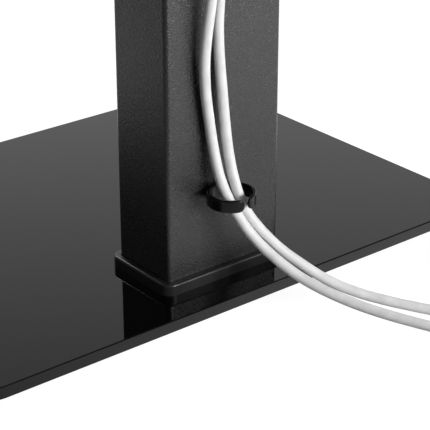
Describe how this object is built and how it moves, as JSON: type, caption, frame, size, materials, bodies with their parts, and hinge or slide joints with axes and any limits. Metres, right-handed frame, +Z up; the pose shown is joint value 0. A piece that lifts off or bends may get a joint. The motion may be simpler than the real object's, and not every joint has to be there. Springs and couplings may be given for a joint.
{
  "type": "tv stand with mount",
  "caption": "Tabletop screen stand: black glass plate, rectangular steel column, sliding mast with a swivelling and tilting head, slotted arms, and white leads clipped behind.",
  "frame": {"origin": "on the table, below the middle of the glass plate; the plate's middle is also the middle of the part's box", "axes": "+X to the right seen from the front, +Y to the rear, where the column and the leads are, and +Z up"},
  "size_m": [0.432, 0.5831, 0.7105],
  "materials": {
    "black_glass": "tempered, opaque black, polished",
    "black_rubber": "matte",
    "coated_steel": "fine-textured black powder coat",
    "zinc_steel": "zinc-plated",
    "black_plastic": "satin moulded",
    "white_nylon": "natural",
    "white_pvc": "satin cable sheath",
    "strap_fabric": "hook and loop",
    "nickel": "nickel-plated"
  },
  "bodies": {
    "stand": {"glass_base": "black_glass", "foot_front_left": "black_rubber", "foot_front_right": "black_rubber", "foot_rear_left": "black_rubber", "foot_rear_right": "black_rubber", "clamp_pad": "black_rubber", "clamp_plate": "coated_steel", "base_bolt_1": "zinc_steel", "base_bolt_2": "zinc_steel", "base_bolt_3": "zinc_steel", "base_bolt_4": "zinc_steel", "foot_gasket": "black_rubber", "foot_plate": "coated_steel", "outer_column": "coated_steel", "foot_collar": "black_plastic", "top_guide": "black_plastic", "lock_bolt_lower": "zinc_steel", "lock_bolt_upper": "zinc_steel", "lock_liner": "black_plastic", "lock_plate": "zinc_steel", "cable_clip_lower": "black_plastic", "cable_clip_upper": "black_plastic", "power_lead": "white_pvc", "power_lead_coil": "white_pvc", "power_lead_strap": "strap_fabric", "power_coupler": "white_pvc", "power_plug": "white_pvc", "power_pin_left": "nickel", "power_pin_right": "nickel", "aerial_lead": "white_pvc", "aerial_lead_coil": "white_pvc", "aerial_lead_strap": "strap_fabric", "aerial_plug_upper": "white_pvc", "aerial_shell_upper": "nickel", "aerial_plug_lower": "white_pvc", "aerial_shell_lower": "nickel"},
    "mast": {"inner_mast": "coated_steel", "mast_glide": "black_plastic", "mast_cap": "black_plastic", "head_bracket": "coated_steel", "head_screw_1": "zinc_steel", "head_screw_2": "zinc_steel", "head_screw_3": "zinc_steel", "head_screw_4": "zinc_steel", "pivot_bolt": "zinc_steel", "pivot_nut": "zinc_steel"},
    "swivel_head": {"swivel_yoke": "coated_steel", "swivel_bush_upper": "white_nylon", "swivel_bush_lower": "white_nylon"},
    "tilt_head": {"cross_plate": "coated_steel", "tilt_bolt_left": "zinc_steel", "tilt_bolt_right": "zinc_steel", "tilt_washer_left": "white_nylon", "tilt_washer_right": "white_nylon"},
    "left_arm": {"arm_left": "coated_steel", "arm_screw_left": "zinc_steel"},
    "right_arm": {"arm_right": "coated_steel", "arm_screw_right": "zinc_steel"}
  },
  "joints": [
    {"name": "height_slide", "type": "slide", "parent": "stand", "child": "mast", "axis": [0, 0, 1], "range_m": [-0.06, 0.06]},
    {"name": "swivel", "type": "hinge", "parent": "mast", "child": "swivel_head", "pos_m": [0, 0.0425, 0.4955], "axis": [0, 0, 1], "range_deg": [-30, 30]},
    {"name": "tilt", "type": "hinge", "parent": "swivel_head", "child": "tilt_head", "pos_m": [0, -0.0025, 0.4955], "axis": [1, 0, 0], "range_deg": [-5, 12]},
    {"name": "left_arm_slide", "type": "slide", "parent": "tilt_head", "child": "left_arm", "axis": [1, 0, 0], "range_m": [-0.05, 0.05]},
    {"name": "right_arm_slide", "type": "slide", "parent": "tilt_head", "child": "right_arm", "axis": [1, 0, 0], "range_m": [-0.05, 0.05]}
  ]
}
